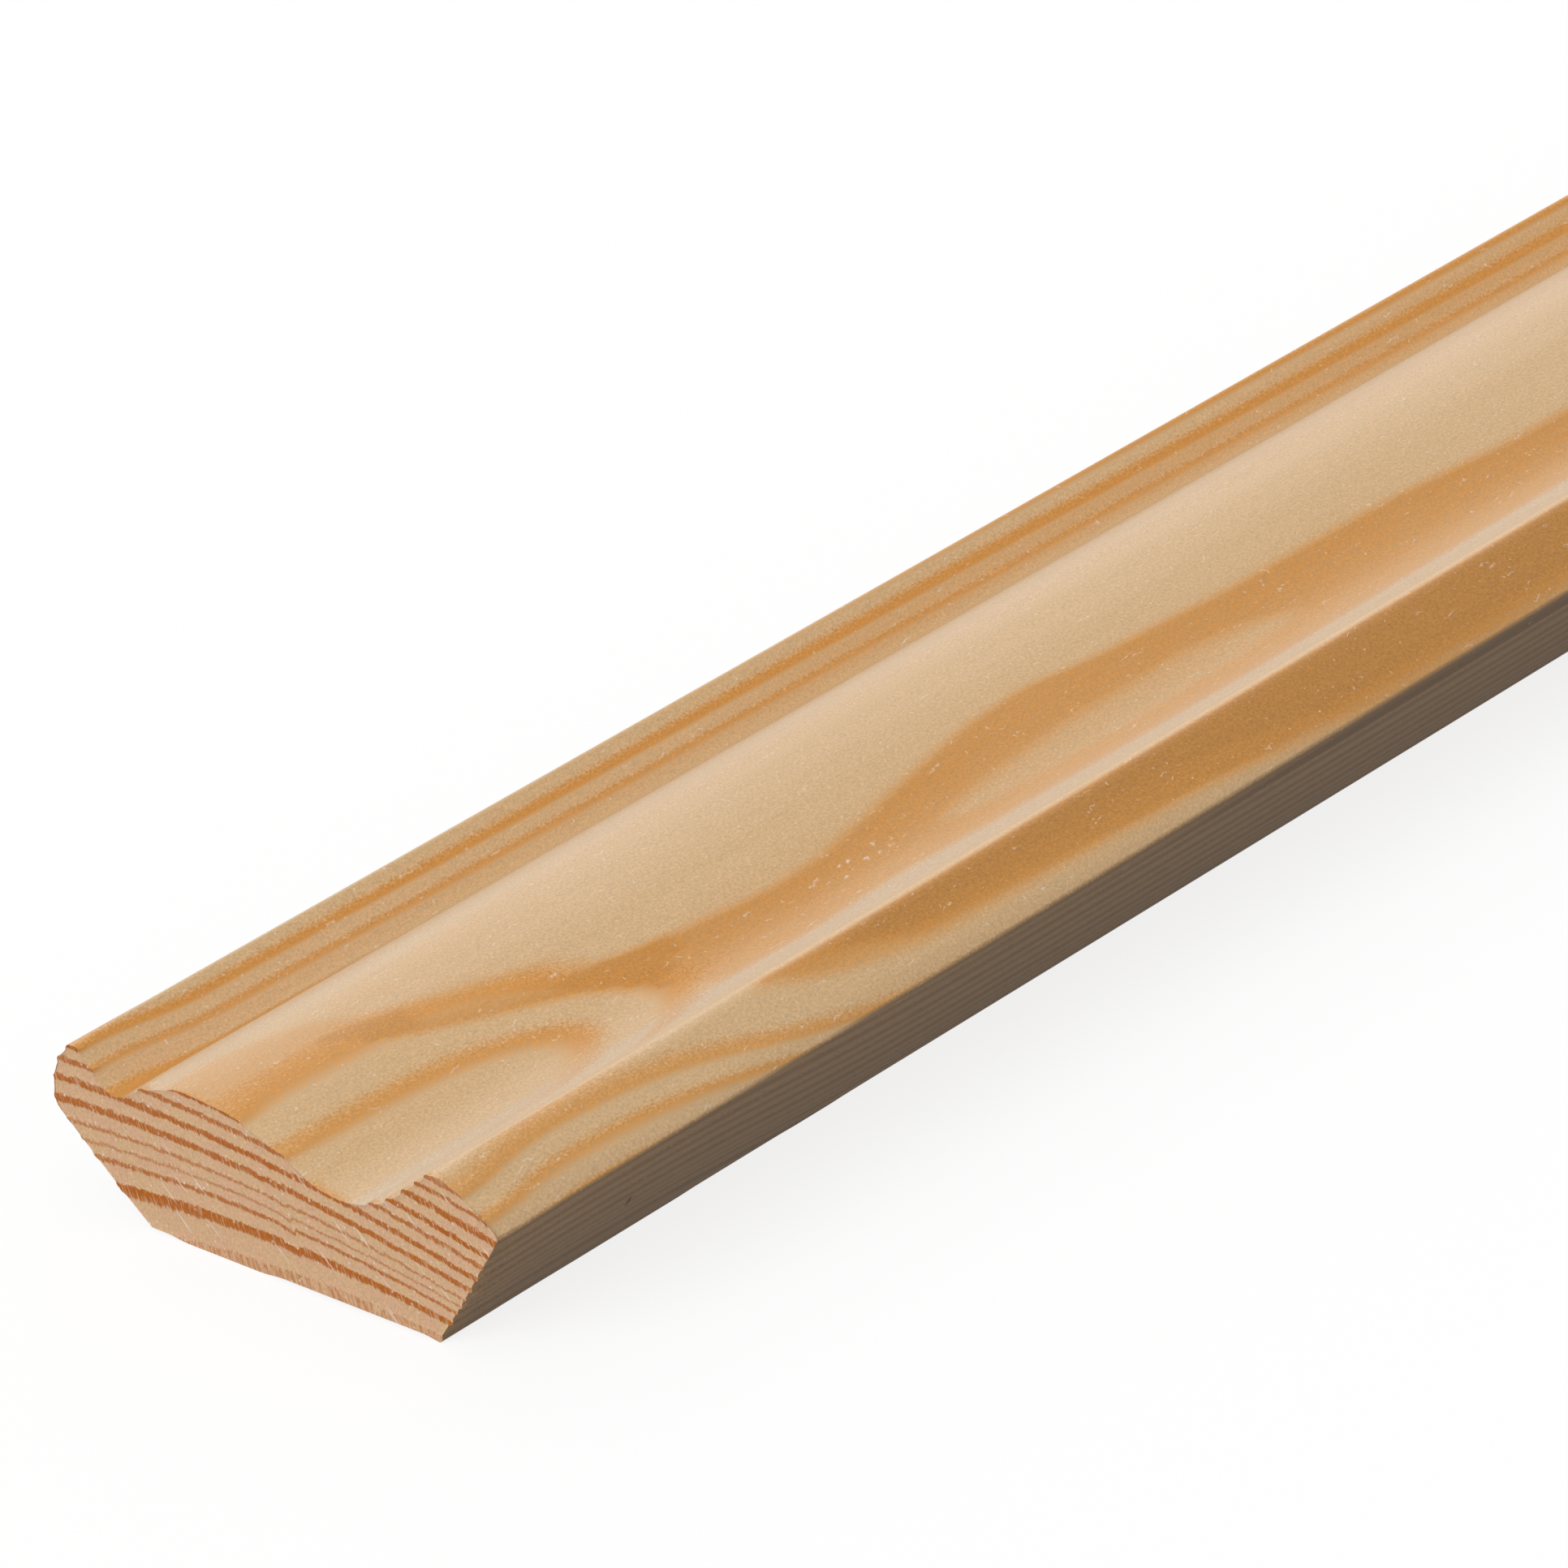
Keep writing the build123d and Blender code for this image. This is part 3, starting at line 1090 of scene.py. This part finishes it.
    @staticmethod
    def ladder(left: list[int], right: list[int], flip: bool) -> list[tuple[int, ...]]:
        """Join two columns of points with faces.

        Args:
            left: the column nearer the nose side.
            right: the next column.
            flip: whether the faces look along +X.

        Returns:
            The faces' point numbers.
        """
        faces = []
        for k in range(max(len(left), len(right)) - 1):
            a, b = left[min(k, len(left) - 1)], right[min(k, len(right) - 1)]
            c, d = right[min(k + 1, len(right) - 1)], left[min(k + 1, len(left) - 1)]
            face = tuple(dict.fromkeys((a, d, c, b)))
            faces.append(face[::-1] if flip else face)
        return faces

    def lay_map(self, mesh: bpy.types.Mesh, place: np.ndarray, stations: np.ndarray, loop: np.ndarray,
                side_count: int, end_counts: list[int]) -> None:
        """Lay the bake map, close-grained near the end that shows and coarser beyond.

        Args:
            mesh: the piece's mesh.
            place: its points.
            stations: distances of the rows.
            loop: the outline.
            side_count: faces before the ends'.
            end_counts: faces of the near end and the far end.
        """
        around = len(loop)
        steps = np.linalg.norm(np.roll(loop, -1, axis=0) - loop, axis=1)
        walked = np.concatenate([[0], np.cumsum(steps)]) / steps.sum()
        row = np.repeat(np.arange(len(stations) - 1), around)
        j = np.tile(np.arange(around), len(stations) - 1)
        across = np.stack([walked[j], walked[j + 1], walked[j + 1], walked[j]], 1)
        ends = np.stack([stations[row], stations[row], stations[row + 1], stations[row + 1]], 1)
        near_rows = int((stations < self.near_length + 0.5).sum()) - 1
        split, length = stations[near_rows], stations[-1]
        near = Patch.NEAR_FACES.at(across, ends / split)
        far = Patch.FAR_FACES.at(across, (ends - split) / (length - split))
        sides = np.where((row < near_rows)[:, None, None], near, far).reshape(-1, 2)
        corner = np.empty(len(mesh.loops), int)
        mesh.loops.foreach_get("vertex_index", corner)
        rest = corner[side_count * 4:]
        share_y = (place[rest, 1] - loop[:, 0].min()) / np.ptp(loop[:, 0])
        share_z = place[rest, 2] / loop[:, 1].max()
        near_end = mesh.polygons[side_count:side_count + end_counts[0]]
        near_corners = sum(face.loop_total for face in near_end)
        last = np.vstack([
            Patch.NEAR_END.at(share_y[:near_corners], share_z[:near_corners]),
            Patch.FAR_END.at(share_y[near_corners:], share_z[near_corners:]),
        ])
        layer = mesh.uv_layers.new(name="OFBake")
        layer.data.foreach_set("uv", np.vstack([sides, last]).astype(np.float32).ravel())


@dataclass
class Studio:
    """A pale floor under plain soft light, and the camera at the photograph's angle.

    The sky and lamps add up to about 1 on a level surface, so a colour renders about as it is written.
    The floor's reach is in metres, and angles are in degrees.
    """

    floor_reach: float = 40.0
    floor_bounce: str = "6A605E"
    floor_shown: str = "7F7F7F"
    floor_glow: float = 0.82
    gloss_glow: float = 0.28
    sky: float = 0.45
    key_strength: float = 1.9
    key_from: tuple[float, float, float] = (-0.90, 0.05, 0.43)
    back_strength: float = 0.68
    back_from: tuple[float, float, float] = (0.45, 0.86, 0.18)
    front_strength: float = 0.36
    front_from: tuple[float, float, float] = (-0.15, -0.70, 0.70)
    lamp_spread: float = 60.0
    end_to_lens: tuple[float, float, float] = (-190.42, -336.36, 192.75)
    heading: float = 34.5372
    depression: float = 23.7952
    roll: float = 14.5924
    lens: float = 172.802
    sensor: float = 36.0

    def set_up(self, end_x: float) -> None:
        """Place the floor, lamps, world and camera.

        Args:
            end_x: the near end's place along X.
        """
        self.floor()
        self.sky_light()
        key = self.lamp("soft_key", self.key_strength, self.key_from)
        # Seen flatly from the far end, its gloss would bleach the whole face
        key.visible_glossy = False
        self.lamp("soft_back", self.back_strength, self.back_from)
        self.lamp("soft_front", self.front_strength, self.front_from)
        self.camera(end_x)
        bpy.context.scene.view_settings.view_transform = "Standard"

    def floor(self) -> None:
        """Lay a level floor that shows white and keeps the strip's shadow.

        Its soft bounce is that of a grey floor, so that the underside stays as dark as it should.
        """
        reach = self.floor_reach
        mesh = bpy.data.meshes.new("studio_floor")
        corners = [(-reach, -reach, 0), (reach, -reach, 0), (reach, reach, 0), (-reach, reach, 0)]
        mesh.from_pydata(corners, [], [(0, 1, 2, 3)])
        material, tree = blank_material("matt_white_sweep")
        path = add(tree, "ShaderNodeLightPath")
        bounce = add(tree, "ShaderNodeBsdfDiffuse", {"Color": linear(self.floor_bounce)})
        shown = add(tree, "ShaderNodeBsdfDiffuse", {"Color": linear(self.floor_shown)})
        strength = add(tree, MAP, {"Value": path.outputs["Is Camera Ray"], "To Min": self.gloss_glow,
                                   "To Max": self.floor_glow})
        glow = add(tree, "ShaderNodeEmission", {"Color": (1, 1, 1, 1), "Strength": strength})
        white = add(tree, "ShaderNodeAddShader", {0: shown, 1: glow})
        mixed = add(tree, "ShaderNodeMixShader", {0: straight_ray(tree), 1: bounce, 2: white})
        add(tree, "ShaderNodeOutputMaterial", {"Surface": mixed})
        mesh.materials.append(material)
        floor = bpy.data.objects.new("studio_floor", mesh)
        bpy.context.scene.collection.objects.link(floor)

    def sky_light(self) -> None:
        """Light the world evenly, white to the camera, gloss and glass."""
        world = bpy.data.worlds.new("studio_sky")
        world.use_nodes = True
        tree = world.node_tree
        tree.nodes.clear()
        soft = add(tree, "ShaderNodeBackground", {"Color": (1, 1, 1, 1), "Strength": self.sky})
        white = add(tree, "ShaderNodeBackground", {"Color": (1, 1, 1, 1), "Strength": 1.0})
        mixed = add(tree, "ShaderNodeMixShader", {0: straight_ray(tree), 1: soft, 2: white})
        add(tree, "ShaderNodeOutputWorld", {"Surface": mixed})
        bpy.context.scene.world = world

    def lamp(self, name: str, strength: float, source: tuple[float, float, float]) -> bpy.types.Object:
        """Hang one wide soft lamp far away.

        Args:
            name: the lamp's name.
            strength: what falls on a surface that faces it.
            source: the way from the strip to the lamp.

        Returns:
            The lamp.
        """
        data = bpy.data.lights.new(name, "SUN")
        data.energy = strength
        data.angle = radians(self.lamp_spread)
        lamp = bpy.data.objects.new(name, data)
        lamp.rotation_euler = Vector(source).to_track_quat("Z", "Y").to_euler()
        bpy.context.scene.collection.objects.link(lamp)
        return lamp

    def camera(self, end_x: float) -> None:
        """Set the camera by its heading, downward angle and roll.

        Args:
            end_x: the near end's place along X.
        """
        heading, down, roll = radians(self.heading), radians(self.depression), radians(self.roll)
        forward = Vector((sin(heading) * cos(down), cos(heading) * cos(down), -sin(down)))
        level = Vector((cos(heading), -sin(heading), 0))
        upright = level.cross(forward)
        right = level * cos(roll) - upright * sin(roll)
        up = upright * cos(roll) + level * sin(roll)
        data = bpy.data.cameras.new("product_camera")
        data.lens, data.sensor_width, data.sensor_height = self.lens, self.sensor, self.sensor
        data.clip_start, data.clip_end = 0.02, 200.0
        camera = bpy.data.objects.new("product_camera", data)
        turn = Matrix((right, up, -forward)).transposed().to_4x4()
        eye = Vector((end_x, 0, 0)) + Vector(self.end_to_lens)
        camera.matrix_world = Matrix.Translation(eye * MM) @ turn
        bpy.context.scene.collection.objects.link(camera)
        bpy.context.scene.camera = camera


def main() -> None:
    """Build the strip and its studio, and report each piece."""
    logging.basicConfig(level=logging.INFO, format="%(message)s")
    section = MouldedSection(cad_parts[NODE_NAME])
    strip = TrimStrip(section, GrowthFigure(section.high_x - section.low_x)).build()
    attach(strip, BODY_NAME)
    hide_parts(NODE_NAME)
    Studio().set_up(section.low_x)


if __name__ == "__main__":
    main()
